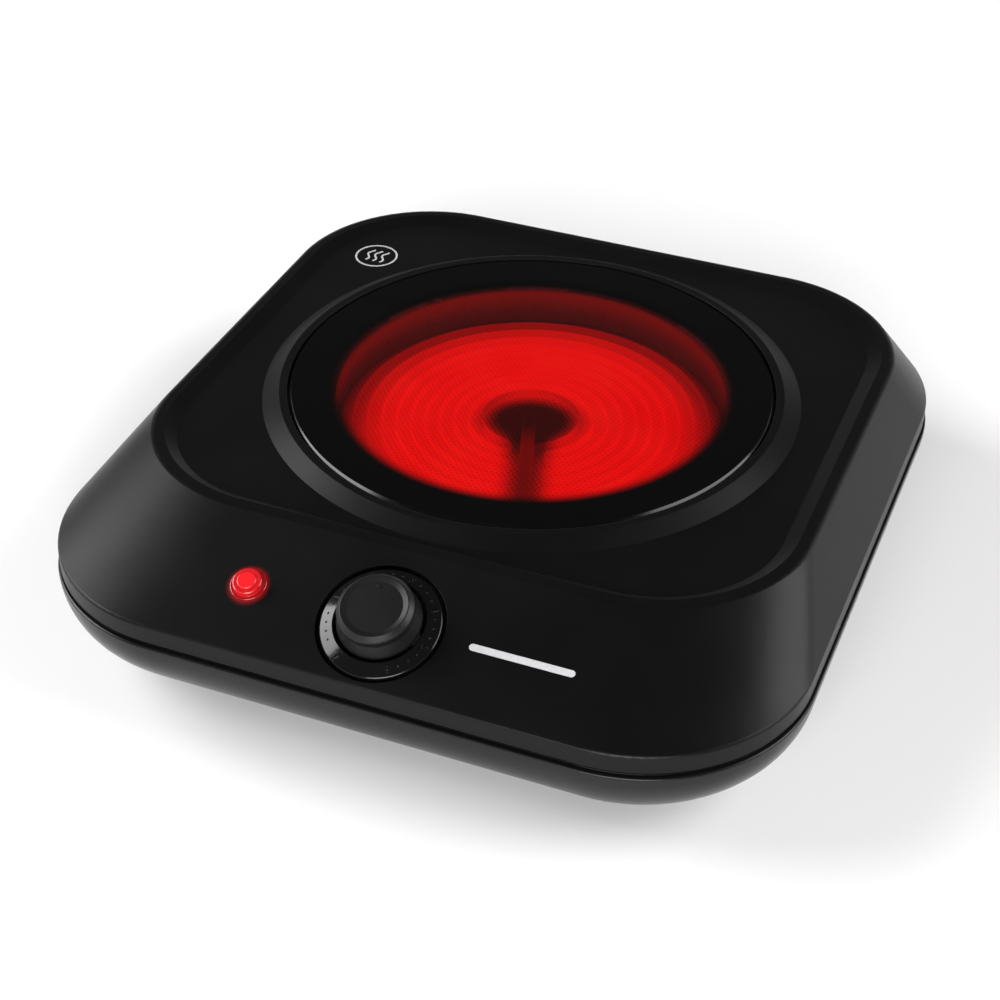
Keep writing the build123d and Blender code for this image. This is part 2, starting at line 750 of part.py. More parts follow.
with BuildPart() as control_bush:
    washer(panel.offset(case_top), bush_radius, shaft_radius + shaft_clearance,
           plate_thick + sheet + recess_depth / 2)
control_bush.part.label = "control_bush"
export_step(control_bush.part, "parts/control_bush.step")

with BuildPart() as control_screws:
    discs(panel.offset(case_top - m3_head), screw_places, m3_radius, m3_head + plate_thick + sheet)
    discs(panel.offset(-recess_depth), screw_places, m3_head_radius, m3_head)
control_screws.part.label = "control_screws"
export_step(control_screws.part, "parts/control_screws.step")

cam_bottom = case_bottom + cam_height
with BuildPart() as control_shaft:
    disc(panel.offset(cam_bottom - case_wall), shaft_radius, shaft_top - cam_bottom + case_wall)
    box_on(panel.offset(knob_lift), (shaft_flat + shaft_radius, 0), 2 * shaft_radius, 2 * shaft_radius,
           shaft_top, Mode.SUBTRACT)
    disc(panel.offset(case_bottom + case_wall / 4), pivot_radius, cam_height)
control_shaft.part.label = "control_shaft"
export_step(control_shaft.part, "parts/control_shaft.step")

with BuildPart() as control_cam:
    washer(panel.offset(cam_bottom), cam_radius, shaft_radius, cam_thick)
    box_on(panel.offset(cam_bottom), (0, -cam_radius), cam_radius, shaft_radius, cam_thick, Mode.SUBTRACT)
control_cam.part.label = "control_cam"
export_step(control_cam.part, "parts/control_cam.step")

leaf_x = cam_radius + leaf_gap + leaf_thick / 2
with BuildPart() as control_leaf:
    box_on(panel.offset(case_bottom + case_wall), (leaf_x, 0), leaf_thick,
           case_width - 2 * case_wall - leaf_gap, cam_height + cam_thick)
control_leaf.part.label = "control_leaf"
export_step(control_leaf.part, "parts/control_leaf.step")

spring_gap = 2 * shaft_clearance
knob_flat = shaft_flat + leaf_thick + 2 * spring_gap
cap_under = knob_rise - knob_wall - dish_sink
with BuildPart() as control_knob:
    turned(panel_section, panel_axis, [
        (0, knob_rise - dish_sink), (dish_radius, knob_rise - dish_sink), (knob_crest, knob_rise),
        (knob_shoulder, knob_rise - shoulder_drop), (knob_waist, knob_rise - waist_drop),
        (knob_radius, knob_lift + knob_edge), (knob_radius, knob_lift), (knob_radius - knob_wall, knob_lift),
        (knob_waist - knob_wall, knob_rise - waist_drop), (knob_crest - knob_wall, cap_under),
        (knob_boss, cap_under), (knob_boss, knob_lift), (0, knob_lift),
    ])
    round_rim(control_knob, knob_crest, crest_edge_round)
    round_rim(control_knob, knob_shoulder, shoulder_round)
    round_rim(control_knob, knob_waist, shoulder_round)
    with BuildSketch(panel.offset(knob_lift)) as knob_bore:
        Circle(shaft_radius + shaft_clearance)
        with Locations((knob_flat + shaft_radius, 0)):
            Rectangle(2 * shaft_radius, 2 * shaft_radius, mode=Mode.SUBTRACT)
    extrude(knob_bore.sketch, amount=shaft_top - knob_lift + shaft_clearance, mode=Mode.SUBTRACT)
    with BuildSketch(panel.offset(knob_rise - 2 * dish_sink)) as pointer_dot:
        with Locations(polar(pointer_radius, 90 + pointer_turn)):
            Circle(dot_radius)
    extrude(pointer_dot.sketch, amount=dish_sink + pointer_proud)
control_knob.part.label = "control_knob"
export_step(control_knob.part, "parts/control_knob.step")

with BuildPart() as knob_spring:
    box_on(panel.offset(knob_lift + shaft_clearance), (shaft_flat + spring_gap + leaf_thick / 2, 0),
           leaf_thick, shaft_radius, shaft_top - knob_lift - 2 * shaft_clearance)
knob_spring.part.label = "knob_spring"
export_step(knob_spring.part, "parts/knob_spring.step")

with BuildPart() as dial_ring:
    turned(panel_section, panel_axis, [
        (ring_inner, -recess_depth), (ring_inner, ring_rise), (ring_radius, -ring_outer_drop),
        (ring_radius, -recess_depth), (ring_radius - ring_wall, -recess_depth),
        (ring_radius - ring_wall, -ring_outer_drop - ring_wall),
        (ring_inner + ring_wall, ring_rise - 2 * ring_wall), (ring_inner + ring_wall, -recess_depth),
    ])
    fillet(dial_ring.edges().group_by(panel_axis)[-1], ring_inner_round)
    outer_rims = [edge for edge in dial_ring.edges().filter_by(GeomType.CIRCLE)
                  if isclose(edge.radius, ring_radius, abs_tol=0.001)]
    fillet(ShapeList(outer_rims).sort_by(panel_axis)[-1], ring_outer_round)
    with BuildSketch(panel.offset(-recess_depth - sheet)) as pegs:
        with PolarLocations(ring_radius - ring_wall / 2, peg_count, start_angle=90):
            Circle(ring_peg / 2)
    extrude(pegs.sketch, amount=sheet + ring_wall)
dial_ring.part.label = "dial_ring"
export_step(dial_ring.part, "parts/dial_ring.step")

# ---------------------------------------------------------------- pilot lamp
lamp_panel = Plane(origin=panel.from_local_coords((lamp_x, lamp_up, 0)), x_dir=panel.x_dir, z_dir=panel.z_dir)
lamp_section = Plane(origin=lamp_panel.origin, x_dir=panel.x_dir, z_dir=-panel.y_dir)
lamp_axis = Axis(lamp_panel.origin, panel.z_dir)
lamp_neck = lamp_body_radius - lamp_body_wall

with BuildPart() as lamp_lens:
    turned(lamp_section, lamp_axis, [
        (0, -lamp_plug), (lamp_neck, -lamp_plug), (lamp_neck, 0), (lamp_flange, 0),
        (lamp_flange, lamp_flange_thick), (lamp_head, lamp_flange_thick), (lamp_head, lamp_head_rise),
        (lamp_button, lamp_head_rise), (lamp_button, lamp_button_rise), (0, lamp_button_rise),
    ])
    for height, rounding in ((lamp_flange_thick, lamp_flange_round), (lamp_head_rise, lamp_head_round),
                             (lamp_button_rise, lamp_button_round)):
        level_edges = [edge for edge in lamp_lens.edges().filter_by(GeomType.CIRCLE)
                       if isclose(lamp_panel.to_local_coords(edge.center()).Z, height, abs_tol=0.001)]
        fillet(ShapeList(level_edges).sort_by(SortBy.RADIUS)[-1], rounding)
lamp_lens.part.label = "lamp_lens"
export_step(lamp_lens.part, "parts/lamp_lens.step")

with BuildPart() as lamp_body:
    washer(lamp_panel.offset(-lamp_length), lamp_body_radius, lamp_neck, lamp_length)
    disc(lamp_panel.offset(-lamp_length), lamp_neck, lamp_body_wall)
lamp_body.part.label = "lamp_body"
export_step(lamp_body.part, "parts/lamp_body.step")

with BuildPart() as lamp_bulb:
    disc(lamp_panel.offset(lamp_body_wall - lamp_length), bulb_radius, lamp_length / 2)
    fillet(lamp_bulb.edges().sort_by(Axis(lamp_panel.origin, lamp_panel.z_dir))[-1], bulb_radius / 2)
lamp_bulb.part.label = "lamp_bulb"
export_step(lamp_bulb.part, "parts/lamp_bulb.step")

with BuildPart() as lamp_clip:
    washer(lamp_panel.offset(-2 * sheet), lamp_flange + sheet, lamp_body_radius, sheet)
lamp_clip.part.label = "lamp_clip"
export_step(lamp_clip.part, "parts/lamp_clip.step")

# ---------------------------------------------------------------- mains entry
with BuildPart() as cord_gland:
    disc(gland_plane, gland_flange, gland_lip)
    disc(gland_plane.offset(-gland_length), gland_radius, gland_length)
    disc(gland_plane.offset(-gland_length - gland_catch), gland_radius + gland_catch, gland_catch)
    disc(gland_plane.offset(-gland_length - gland_catch), gland_bore, gland_length + gland_catch + gland_lip,
         Mode.SUBTRACT)
cord_gland.part.label = "cord_gland"
export_step(cord_gland.part, "parts/cord_gland.step")

mains_z = floor_z + block_lift
pole_places = [(inlet_x + x, block_y) for x in (-pole_pitch, 0, pole_pitch)]
pole_z = mains_z + mains_height / 2
block_front = block_y - mains_width / 2
pole_face = Plane(origin=(0, block_front, 0), x_dir=(1, 0, 0), z_dir=(0, -1, 0))
pole_faces = [(x, pole_z) for x, y in pole_places]

with BuildPart() as mains_block:
    box_on(level(mains_z), (inlet_x, block_y), mains_length, mains_width, mains_height)
    discs(pole_face, pole_faces, pole_radius, -mains_width, Mode.SUBTRACT)
    discs(level(pole_z), pole_places, pole_screw_radius, mains_height, Mode.SUBTRACT)
    discs(level(mains_z), block_post_places, m3_radius + screw_clearance, mains_height, Mode.SUBTRACT)
    discs(level(mains_z + mains_height / 2), block_post_places, m3_head_radius + screw_clearance,
          mains_height, Mode.SUBTRACT)
mains_block.part.label = "mains_block"
export_step(mains_block.part, "parts/mains_block.step")

with BuildPart() as mains_poles:
    discs(pole_face.offset(-mains_width / 4), pole_faces, pole_radius, -mains_width / 2)
    discs(pole_face.offset(-mains_width / 4), pole_faces, lead_radius + shaft_clearance, -mains_width / 2,
          Mode.SUBTRACT)
    discs(level(pole_z + lead_radius), pole_places, pole_screw_radius - screw_clearance, pole_radius,
          Mode.SUBTRACT)
mains_poles.part.label = "mains_poles"
export_step(mains_poles.part, "parts/mains_poles.step")

with BuildPart() as mains_screws:
    discs(level(pole_z + lead_radius + pole_screw_up), pole_places, pole_screw_radius - screw_clearance,
          mains_height / 2 - lead_radius - 2 * pole_screw_up)
mains_screws.part.label = "mains_screws"
export_step(mains_screws.part, "parts/mains_screws.step")

with BuildPart() as block_screws:
    discs(level(floor_z + pole_screw_up), block_post_places, m3_radius,
          block_lift + mains_height / 2 - pole_screw_up)
    discs(level(mains_z + mains_height / 2), block_post_places, m3_head_radius, m3_head)
block_screws.part.label = "block_screws"
export_step(block_screws.part, "parts/block_screws.step")

with BuildPart() as earth_tag:
    tag_plane = Plane(origin=(strap_leg_x + bracket_thick, glass_y, strap_screw_z), z_dir=(1, 0, 0))
    disc(tag_plane, m4_head_radius, tab_thick)
    disc(tag_plane, m4_radius, tab_thick, Mode.SUBTRACT)
earth_tag.part.label = "earth_tag"
export_step(earth_tag.part, "parts/earth_tag.step")

# ---------------------------------------------------------------- leads
duct_x = boss_x + boss_radius + lead_radius + 3 * clip_slack
duct_z = floor_z + lead_radius + clip_slack
duct_front = boss_front_y - 2 * boss_radius


def control_tip(x, y, reach=0.0):
    """Point under a control tab, reach below its tip."""
    tip = panel.from_local_coords((x, y, case_bottom - tab_length - reach))
    return (tip.X, tip.Y, tip.Z)


def heater_tip(x, z, start, reach=0.0):
    """Point beyond the end of a heater tab."""
    tip = heater_plane(z + tab_thick / 2).from_local_coords((x, -(start + tab_length + reach), 0))
    return (tip.X, tip.Y, tip.Z)


def pole(index, reach=0.0):
    """Point at the mouth of a mains pole."""
    return (pole_places[index][0], block_front - reach, pole_z)


def duct(index, y):
    """Point in one of the three places side by side along the right wall."""
    return (duct_x + index * duct_pitch, y, duct_z)


def lamp_tip(x, reach=0.0):
    """Point under the lamp body, reach below it."""
    tip = lamp_panel.from_local_coords((x, 0, -lamp_length - reach))
    return (tip.X, tip.Y, tip.Z)


def lead(points, radius, bend):
    """Round wire swept along straight runs joined by even bends; gives its length."""
    with BuildLine() as route:
        FilletPolyline(*points, radius=bend)
    with BuildSketch(Plane(origin=route.line @ 0, z_dir=route.line % 0)) as section:
        Circle(radius)
    sweep(section.sketch, path=route.line)
    return route.wires()[0].length


earth_x = strap_leg_x + bracket_thick + tab_thick + lead_radius
earth_top = strap_screw_z - m4_radius - 2 * lead_radius
lamp_lead_x = 1.5
lead_routes = {
    "lead_live": (lead_radius, lead_bend, [
        pole(1), pole(1, duct_drop[1]), duct(1, block_front - duct_drop[1] - duct_turn),
        duct(1, duct_front - 2 * duct_pitch), (duct_x / 2, knob_y + live_swing, duct_z),
        control_tip(tab_x, tab_y, tab_run), control_tip(tab_x, tab_y)]),
    "lead_neutral": (lead_radius, lead_bend, [
        pole(0), pole(0, duct_drop[0]), duct(0, block_front - duct_drop[0] - duct_turn), duct(0, duct_front),
        (duct_x / 2 + neutral_side, duct_front - neutral_swing, strap_z),
        heater_tip(heater_tab_x, heater_tab_z, tab_start, neutral_run),
        heater_tip(heater_tab_x, heater_tab_z, tab_start)]),
    "lead_earth": (lead_radius, lead_bend, [
        pole(2), pole(2, duct_drop[2]), duct(2, block_front - duct_drop[2] - duct_turn),
        duct(2, boss_rear_y / 2), (duct_x + 2 * duct_pitch, glass_y, strap_screw_z - earth_rise),
        (earth_x, glass_y, earth_top)]),
    "lead_switched": (lead_radius, lamp_lead_bend, [
        control_tip(tab_x, -tab_y), control_tip(tab_x, -tab_y, short_run),
        (tab_x + switched_side, duct_front - switched_swing, duct_z + lead_radius),
        heater_tip(-heater_tab_x, rod_z, head_end, tab_run), heater_tip(-heater_tab_x, rod_z, head_end)]),
    "lead_lamp_feed": (lamp_lead_radius, lamp_lead_bend, [
        lamp_tip(-lamp_lead_x), lamp_tip(-lamp_lead_x, lamp_run),
        (-2 * tab_x, knob_y + feed_swing, duct_z + lead_radius), control_tip(-tab_x, -tab_y, short_run),
        control_tip(-tab_x, -tab_y)]),
    "lead_lamp_return": (lamp_lead_radius, lamp_lead_bend, [
        lamp_tip(lamp_lead_x), lamp_tip(lamp_lead_x, lamp_run), control_tip(-2 * tab_x, tab_y, short_run),
        control_tip(-tab_x, tab_y, short_run), control_tip(-tab_x, tab_y)]),
}
for name, (radius, bend, points) in lead_routes.items():
    with BuildPart() as wire:
        run = lead(points, radius, bend)
    wire.part.label = name
    share = wire.part.volume / (pi * radius ** 2 * run)
    print(name, "radius", radius, "bend", bend, "volume over section times length", round(share, 3))
    export_step(wire.part, f"parts/{name}.step")

clip_half = duct_pitch + lead_radius + clip_slack
clip_inside = 2 * (lead_radius + clip_slack)
with BuildPart() as lead_clips:
    for y in clip_places_y:
        place = (duct_x + duct_pitch, y)
        box_on(level(floor_z), place, 2 * (clip_half + clip_wall), clip_length, clip_inside + clip_wall)
        box_on(level(floor_z), place, 2 * clip_half, clip_length, clip_inside, Mode.SUBTRACT)
lead_clips.part.label = "lead_clips"
export_step(lead_clips.part, "parts/lead_clips.step")
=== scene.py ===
import json
import math

import bmesh
import bpy
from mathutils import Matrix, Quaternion, Vector


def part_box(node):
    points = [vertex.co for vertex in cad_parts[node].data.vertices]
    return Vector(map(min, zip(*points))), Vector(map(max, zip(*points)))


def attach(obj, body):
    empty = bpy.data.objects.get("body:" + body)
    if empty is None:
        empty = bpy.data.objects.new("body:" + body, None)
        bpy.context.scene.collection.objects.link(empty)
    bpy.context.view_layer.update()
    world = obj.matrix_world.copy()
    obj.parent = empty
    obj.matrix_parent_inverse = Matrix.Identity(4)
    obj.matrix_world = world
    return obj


# A single-zone infrared hot plate: looks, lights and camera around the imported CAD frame.
# Metres, the same frame as the CAD part. Sizes written in millimetres are multiplied by MM.

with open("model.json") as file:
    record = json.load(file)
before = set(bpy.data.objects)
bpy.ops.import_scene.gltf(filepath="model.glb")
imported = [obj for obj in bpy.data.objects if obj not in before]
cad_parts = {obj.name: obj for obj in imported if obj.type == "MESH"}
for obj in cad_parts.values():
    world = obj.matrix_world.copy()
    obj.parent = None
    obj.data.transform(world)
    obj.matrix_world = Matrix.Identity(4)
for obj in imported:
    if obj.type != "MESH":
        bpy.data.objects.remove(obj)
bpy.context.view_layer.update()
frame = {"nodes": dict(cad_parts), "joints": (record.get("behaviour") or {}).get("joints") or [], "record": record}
record = frame["record"]
nodes = frame["nodes"]

MM = 0.001


# ---------------------------------------------------------------- places taken from the frame
joint = frame["joints"][0]
panel_origin = Vector(joint["pos_m"])
panel_normal = Vector(joint["axis"]).normalized()
panel_right = Vector((1, 0, 0))
panel_up = panel_normal.cross(panel_right)

glass_low, glass_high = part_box("glass_plate")
glass_centre = (glass_low + glass_high) / 2
glass_radius = (glass_high.x - glass_low.x) / 2
board_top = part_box("insulation_base")[1].z
wall_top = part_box("insulation_ring")[1].z
lamp_low, lamp_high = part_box("lamp_lens")
lamp_centre = (lamp_low + lamp_high) / 2

DECK_BELOW_GLASS = 3.4 * MM
deck_z = glass_high.z - DECK_BELOW_GLASS

STRIP_TURN = math.radians(18)     # the coil-free strip points this far right of the front
HEATED_RADIUS = 75 * MM
COIL_PITCH = 5.6 * MM
STRIP_HALF = 6.5 * MM
DARK_CENTRE = 14.5 * MM


# ---------------------------------------------------------------- material kit
class Look:
    """One material in the making: small helpers that add nodes and join them up."""

    def __init__(self, name, **plain):
        self.material = bpy.data.materials.new(name)
        self.material.use_nodes = True
        self.tree = self.material.node_tree
        self.shader = self.tree.nodes["Principled BSDF"]
        self.output = self.tree.nodes["Material Output"]
        for socket, value in plain.items():
            self.shader.inputs[socket.replace("_", " ")].default_value = value
        self.place = self.add("TexCoord", output="Object")

    def add(self, kind, *inputs, output=0, named=None, **settings):
        """Adds a node, sets it up, joins its inputs and gives back one of its outputs."""
        node = self.tree.nodes.new("ShaderNode" + kind)
        for key, value in settings.items():
            setattr(node, key, value)
        for index, value in list(enumerate(inputs)) + list((named or {}).items()):
            self.join(value, node.inputs[index])
        return node.outputs[output]

    def join(self, value, socket):
        if isinstance(value, bpy.types.NodeSocket):
            self.tree.links.new(value, socket)
        elif value is not None:
            socket.default_value = value

    def drive(self, socket, value):
        """Joins a value to one of the main shader's sockets."""
        self.join(value, self.shader.inputs[socket])

    def math(self, operation, *values, clamp=False):
        return self.add("Math", *values, operation=operation, use_clamp=clamp)

    def remap(self, value, from_low, from_high, low=0.0, high=1.0, smooth=False):
        kind = "SMOOTHSTEP" if smooth else "LINEAR"
        return self.add("MapRange", value, from_low, from_high, low, high, interpolation_type=kind, clamp=True)

    def mix(self, share, first, second):
        return self.add("Mix", data_type="RGBA", output=2, named={0: share, 6: first, 7: second})

    def noise(self, size, detail=3.0, roughness=0.5, stretch=None, place=None):
        """Noise from 0 to 1 whose features are about size metres across."""
        where = place or self.place
        if stretch:
            where = self.add("Mapping", where, named={"Scale": stretch})
        return self.add("TexNoise", named={"Vector": where, "Scale": 1 / size, "Detail": detail,
                                           "Roughness": roughness})

    def cells(self, size, place=None, **settings):
        """Distance to the nearest of scattered points, about size metres apart."""
        return self.add("TexVoronoi", named={"Vector": place or self.place, "Scale": 1 / size}, **settings)

    def bump(self, height, depth, rounding=0.0):
        """Fine relief from a height of 0 to 1, over edges that are softened by rounding."""
        bump = self.add("Bump", named={"Height": height, "Distance": depth})
        if rounding:
            self.join(self.add("Bevel", rounding, samples=4), bump.node.inputs["Normal"])
        self.drive("Normal", bump)
        return bump

    def edges(self, rounding):
        """0 on flat faces, rising towards 1 along edges."""
        bevel = self.add("Bevel", rounding, samples=4)
        normal = self.add("NewGeometry", output="Normal")
        facing = self.add("VectorMath", bevel, normal, operation="DOT_PRODUCT", output="Value")
        return self.remap(facing, 0.98, 0.75)

    def varied(self, color, other, size, detail=3.0):
        """Base colour that drifts between two shades."""
        share = self.noise(size, detail)
        self.drive("Base Color", self.mix(share, rgba(color), rgba(other)))
        return share


def rgba(color):
    return (*color, 1.0)


def shade(color, factor):
    return tuple(min(1.0, channel * factor) for channel in color)


# ---------------------------------------------------------------- plain finishes
def painted_steel():
    """Fine black powder coat: even satin with a dense fine grain, rubbed a little on its edges, and a painted red glow
    of lamp light beside the pilot lamp.
    """
    look = Look("cover_paint", Specular_IOR_Level=0.16)
    grain = look.noise(0.45 * MM, 4.0, 0.6)
    clouds = look.noise(38 * MM, 3.0)
    specks = look.cells(0.9 * MM)
    rub = look.math("MULTIPLY", look.edges(0.5 * MM), look.remap(look.noise(2.2 * MM), 0.45, 0.7))
    black = look.mix(clouds, rgba((0.0022, 0.0022, 0.0024)), rgba((0.0034, 0.0034, 0.0037)))
    look.drive("Base Color", look.mix(look.math("MULTIPLY", rub, 0.25), black, rgba((0.04, 0.04, 0.042))))
    rough = look.remap(clouds, 0.3, 0.7, 0.33, 0.38)
    look.drive("Roughness", look.math("ADD", rough, look.remap(grain, 0.3, 0.7, -0.03, 0.03)))
    height = look.math("ADD", grain, look.math("MULTIPLY", look.remap(specks, 0.0, 0.5), 0.35))
    look.bump(height, 0.012 * MM, 0.35 * MM)
    # painted light: the paint itself glows in a soft red ring beside the pilot lamp, standing in for the lit lamp's
    # light on it
    away = look.add("VectorMath", look.place, tuple(lamp_centre), operation="DISTANCE", output="Value")
    painted_lamp_light = look.math("POWER", look.remap(away, 8.6 * MM, 6.2 * MM), 2.0)
    look.drive("Emission Color", look.mix(painted_lamp_light, rgba((0, 0, 0)), rgba((0.30, 0.006, 0.008))))
    look.shader.inputs["Emission Strength"].default_value = 1.0
    return look.material


def moulded_plastic(name, color, rough, grain_size=0.5 * MM, grain_depth=0.008 * MM, rounding=0.3 * MM, shine=0.5):
    """Moulded plastic with a fine spark-eroded grain and slow changes of sheen."""
    look = Look(name, Specular_IOR_Level=shine)
    grain = look.noise(grain_size, 5.0, 0.65)
    flow = look.noise(30 * MM, 2.0)
    worn = look.math("MULTIPLY", look.edges(rounding), look.noise(1.6 * MM))
    base = look.mix(flow, rgba(color), rgba(shade(color, 1.35)))
    look.drive("Base Color", look.mix(look.math("MULTIPLY", worn, 0.3), base, rgba(shade(color, 3.0))))
    look.drive("Roughness", look.math("ADD", look.remap(flow, 0.3, 0.7, rough - 0.03, rough + 0.03),
                                      look.remap(grain, 0.3, 0.7, -0.03, 0.03)))
    look.bump(grain, grain_depth, rounding)
    return look.material


def soft_rubber(name, color):
    """Dull rubber with a dusty, slightly pitted skin."""
    look = Look(name, IOR=1.5, Sheen_Weight=0.15, Sheen_Roughness=0.5)
    dust = look.noise(6 * MM, 5.0, 0.6)
    pits = look.cells(0.7 * MM)
    look.drive("Base Color", look.mix(look.remap(dust, 0.4, 0.8), rgba(color), rgba(shade(color, 2.2))))
    look.drive("Roughness", look.remap(dust, 0.3, 0.7, 0.7, 0.85))
    look.bump(look.math("ADD", look.noise(0.35 * MM, 4.0), look.remap(pits, 0.0, 0.35)), 0.02 * MM, 0.4 * MM)
    return look.material


def brushed_metal(name, color, rough, stretch=(1.0, 1.0, 14.0), tarnish=(0.35, 0.33, 0.30)):
    """Rolled or plated metal with a fine one-way grain, faint spangle and dull patches."""
    look = Look(name, Metallic=1.0)
    lines = look.noise(0.9 * MM, 6.0, 0.7, stretch)
    spangle = look.cells(7 * MM, feature="F1")
    patches = look.noise(14 * MM, 4.0)
    tone = look.mix(look.remap(patches, 0.45, 0.75), rgba(color), rgba(tarnish))
    look.drive("Base Color", look.mix(look.math("MULTIPLY", lines, 0.35), tone, rgba(shade(color, 0.6))))
    worn = look.math("ADD", look.remap(lines, 0.3, 0.7, rough - 0.06, rough + 0.08),
                     look.remap(spangle, 0.0, 0.8, -0.04, 0.05))
    look.drive("Roughness", worn)
    look.bump(lines, 0.006 * MM, 0.2 * MM)
    return look.material


def pressed_fibre():
    """Pressed mineral insulation: short matted fibres and small crumbs, painted near-black as shade inside the heated
    circle, with the heater's red glow painted on as emission.
    """
    look = Look("insulation", IOR=1.4)
    fibres = look.noise(0.5 * MM, 7.0, 0.75, (1.0, 3.5, 1.0))
    crumbs = look.cells(1.4 * MM)
    pale = look.mix(fibres, rgba((0.60, 0.57, 0.52)), rgba((0.74, 0.71, 0.66)))
    radius, across, along = heater_polar(look, look.place)
    # painted shade: the pale board is coloured near-black inside the heated circle
    painted_shade_inside = look.remap(radius, HEATED_RADIUS + 2 * MM, HEATED_RADIUS - 0.5 * MM)
    look.drive("Base Color", look.mix(painted_shade_inside, pale, rgba((0.05, 0.04, 0.038))))
    look.shader.inputs["Roughness"].default_value = 0.95
    look.bump(look.math("ADD", fibres, look.remap(crumbs, 0.0, 0.6)), 0.08 * MM)
    # painted light: the coil's red glow is painted onto the board as emission
    glow = heater_glow(look, KNOB_SCATTER)
    look.drive("Emission Color", glow)
    look.shader.inputs["Emission Strength"].default_value = GLOW_STRENGTH
    look.material.cycles.emission_sampling = "NONE"
    return look.material


# ---------------------------------------------------------------- the glow under the glass
GLASS_TINT = (0.62, 0.34, 0.32)        # what one face of the glass lets through
GLOW_STRENGTH = 1.0 / GLASS_TINT[0] ** 2
DIMPLE_PITCH = 1.73 * MM               # rows of knobs on the underside of the glass
DIMPLE_TURN = math.radians(-18)
KNOB_SCATTER = 0.75 * MM               # how far a knob shifts what is seen through it
# colours of the red glow: the hot ribbon's own light, and painted light on the heater floor, wall and quartz tube
DEEP_RED = (0.024, 0.0030, 0.0040)
STRIP_RED = (0.150, 0.0055, 0.0045)
FOOT_RED = (0.018, 0.0025, 0.0032)
DIM_RED = (0.095, 0.0055, 0.0050)
RED = (0.780, 0.0045, 0.0070)
HOT_RED = (0.840, 0.0200, 0.0160)


def heater_polar(look, where):
    """Distance from the heater's centre, and the place across and along its coil-free strip."""
    flat = look.add("Mapping", where, vector_type="TEXTURE", named={
        "Location": (glass_centre.x, glass_centre.y, 0.0), "Rotation": (0.0, 0.0, STRIP_TURN)})
    parts = look.tree.nodes.new("ShaderNodeSeparateXYZ")
    look.join(flat, parts.inputs[0])
    across, along = parts.outputs["X"], parts.outputs["Y"]
    radius = look.math("SQRT", look.math("ADD", look.math("MULTIPLY", across, across),
                                         look.math("MULTIPLY", along, along)))
    return radius, across, along


def dimple_waves(look, kind="COSINE"):
    """The three waves of a six-sided grid of knobs, each with its direction."""
    waves = []
    for step in range(3):
        turn = DIMPLE_TURN + math.radians(60 * step)
        direction = (math.cos(turn), math.sin(turn), 0.0)
        along = look.add("VectorMath", look.place, direction, operation="DOT_PRODUCT", output="Value")
        phase = look.math("MULTIPLY", along, 2 * math.pi / DIMPLE_PITCH)
        waves.append((direction, look.math(kind, phase)))
    return waves


def knobbed_place(look, reach):
    """Object place as the knobbed glass shows it: each knob bends the view a little its own way."""
    where = look.place
    for direction, wave in dimple_waves(look, "SINE"):
        push = look.add("VectorMath", tuple(reach * d for d in direction), operation="SCALE",
                        named={"Scale": wave})
        where = look.add("VectorMath", where, push, operation="ADD")
    return where


def heater_glow(look, scatter):
    """Colour of the coil's red glow, dark along the strip and at the centre: the hot ribbon's own light, and painted
    light on the floor and wall of the heater.
    """
    radius, across, along = heater_polar(look, knobbed_place(look, scatter))
    true_radius = heater_polar(look, look.place)[0]
    side = look.math("ABSOLUTE", across)
    behind = look.math("MAXIMUM", along, 0.0)
    flare = look.remap(radius, 34 * MM, 10 * MM, 0.0, 4.0 * MM, smooth=True)
    reach = look.math("SQRT", look.math("ADD", look.math("MULTIPLY", side, side),
                                        look.math("MULTIPLY", behind, behind)))
    from_strip = look.math("SUBTRACT", look.math("SUBTRACT", reach, STRIP_HALF), flare)
    squeezed = look.math("MULTIPLY", across, 0.78)
    further = look.math("SUBTRACT", along, 1.5 * MM)
    oval = look.math("SQRT", look.math("ADD", look.math("MULTIPLY", squeezed, squeezed),
                                       look.math("MULTIPLY", further, further)))
    from_centre = look.math("SUBTRACT", oval, DARK_CENTRE)
    dark = look.math("SMOOTH_MIN", from_strip, from_centre, 8 * MM)
    open_floor = look.remap(dark, -5.0 * MM, 6.0 * MM, smooth=True)
    middle = look.mix(look.remap(radius, 12 * MM, 28 * MM, smooth=True), rgba(DEEP_RED), rgba(STRIP_RED))
    unlit = look.mix(look.remap(radius, 58 * MM, 70 * MM, smooth=True), middle, rgba(FOOT_RED))
    edge = look.remap(radius, 78 * MM, 52 * MM, smooth=True)
    bands = look.math("SINE", look.math("MULTIPLY", radius, 2 * math.pi / COIL_PITCH))
    clouds = look.noise(26 * MM, 2.0)
    ripple = look.math("ADD", look.math("MULTIPLY", bands, 0.07), look.remap(clouds, 0.3, 0.7, -0.35, 0.45))
    hot = look.mix(look.math("ADD", 0.40, ripple, clamp=True), rgba(RED), rgba(HOT_RED))
    floor = look.mix(look.math("MULTIPLY", open_floor, edge), unlit, hot)
    # painted light: the wall's glow is painted brighter towards its top
    height = look.add("SeparateXYZ", look.place, output="Z")
    up = look.remap(height, board_top, wall_top)
    wall = look.mix(look.remap(up, 0.30, 0.95, smooth=True), rgba(FOOT_RED), rgba(DIM_RED))
    on_wall = look.remap(true_radius, HEATED_RADIUS - 0.6 * MM, HEATED_RADIUS - 0.2 * MM)
    # painted light: a dim red halo painted on the wall's top just outside the heated circle
    halo = look.math("POWER", look.remap(true_radius, HEATED_RADIUS + 4.5 * MM, HEATED_RADIUS + 0.6 * MM), 1.6)
    top = look.mix(halo, rgba((0, 0, 0)), rgba((0.030, 0.0025, 0.0030)))
    on_top = look.remap(height, wall_top - 0.3 * MM, wall_top - 0.1 * MM)
    lit = look.mix(on_wall, floor, wall)
    shown = look.mix(on_top, lit, top)
    outside = look.remap(true_radius, HEATED_RADIUS + 4.5 * MM, HEATED_RADIUS + 5.0 * MM)
    return look.mix(outside, shown, rgba((0, 0, 0)))


